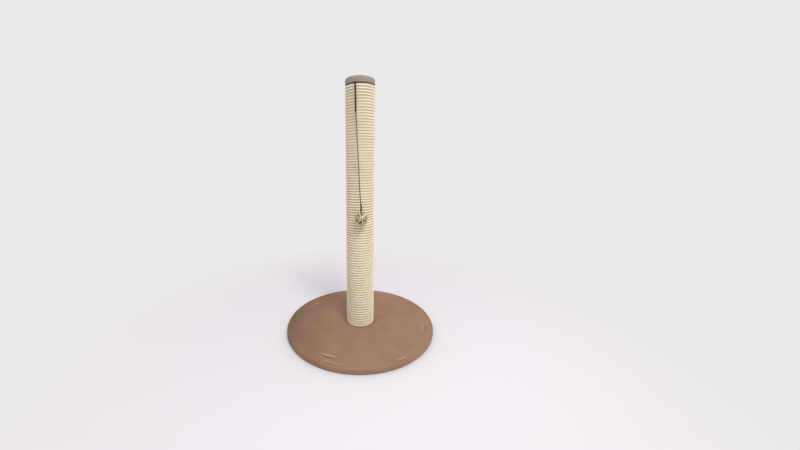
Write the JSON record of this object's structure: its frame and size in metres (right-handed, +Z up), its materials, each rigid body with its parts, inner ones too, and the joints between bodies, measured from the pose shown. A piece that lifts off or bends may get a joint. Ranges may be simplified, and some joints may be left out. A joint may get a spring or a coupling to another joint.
{
  "type": "cat scratching post",
  "caption": "Sisal-wound post on a round plush-covered base, with a padded plush cap and an openwork ball hung from it on a knotted cord.",
  "frame": {"origin": "floor level, at the middle of the round base, on the post's axis", "axes": "+Z up along the post, -Y towards the front where the ball hangs, +X to the right seen from the front"},
  "size_m": [0.3996, 0.3996, 0.6573],
  "materials": {
    "brown_plush": "short brown plush",
    "grey_plush": "short warm grey plush",
    "board_wood": "raw fibreboard",
    "felt": "dark needled felt",
    "pad_rubber": "matt soft rubber",
    "zinc_steel": "bright zinc plating",
    "plug_wood": "raw poplar",
    "kraft_paper": "wound kraft paper",
    "sisal": "natural twisted sisal fibre",
    "foam": "soft white wadding",
    "brown_cord": "dark brown braided cord",
    "ball_plastic": "moulded straw-coloured plastic",
    "bell_brass": "dull pressed brass"
  },
  "bodies": {
    "post": {"base_board": "board_wood", "base_plush": "brown_plush", "base_underlay": "felt", "foot_pad_1": "pad_rubber", "foot_pad_2": "pad_rubber", "foot_pad_3": "pad_rubber", "foot_pad_4": "pad_rubber", "base_bolt": "zinc_steel", "bolt_washer": "zinc_steel", "plug_insert": "zinc_steel", "bottom_plug": "plug_wood", "top_plug": "plug_wood", "post_tube": "kraft_paper", "sisal_rope": "sisal", "rope_tack_bottom": "zinc_steel", "rope_tack_top": "zinc_steel", "cap_plush": "grey_plush", "cap_padding": "foam", "cap_board": "board_wood", "cap_screw_1": "zinc_steel", "cap_screw_2": "zinc_steel", "cord_staple": "zinc_steel", "cord_bight": "brown_cord"},
    "cord_bends": {"cord_bend_left": "brown_cord", "cord_bend_right": "brown_cord"},
    "toy": {"cord_strand_left": "brown_cord", "cord_strand_right": "brown_cord", "upper_knot": "brown_cord", "toy_cord": "brown_cord"},
    "ball": {"tie_cord": "brown_cord", "tie_return": "brown_cord", "lower_knot": "brown_cord", "tie_tail": "brown_cord", "tie_loop": "brown_cord", "ball_shell_upper": "ball_plastic", "ball_shell_lower": "ball_plastic"},
    "bell": {"bell_shell": "bell_brass", "bell_pea": "zinc_steel"}
  },
  "joints": [
    {"name": "toy_swing_side", "type": "hinge", "parent": "post", "child": "cord_bends", "pos_m": [-0.011, -0.03798, 0.6378], "axis": [0, 1, 0], "range_deg": [-60, 60]},
    {"name": "toy_swing_out", "type": "hinge", "parent": "cord_bends", "child": "toy", "pos_m": [-0.011, -0.03998, 0.6346], "axis": [-1, 0, 0], "range_deg": [0, 75]},
    {"name": "ball_spin", "type": "hinge", "parent": "toy", "child": "ball", "pos_m": [0.0012, -0.05258, 0.354], "axis": [-0.0557, 0.0441, 0.9975], "continuous": true},
    {"name": "bell_rattle", "type": "slide", "parent": "ball", "child": "bell", "axis": [-0.0557, 0.0441, 0.9975], "range_m": [0, 0.0115]}
  ]
}
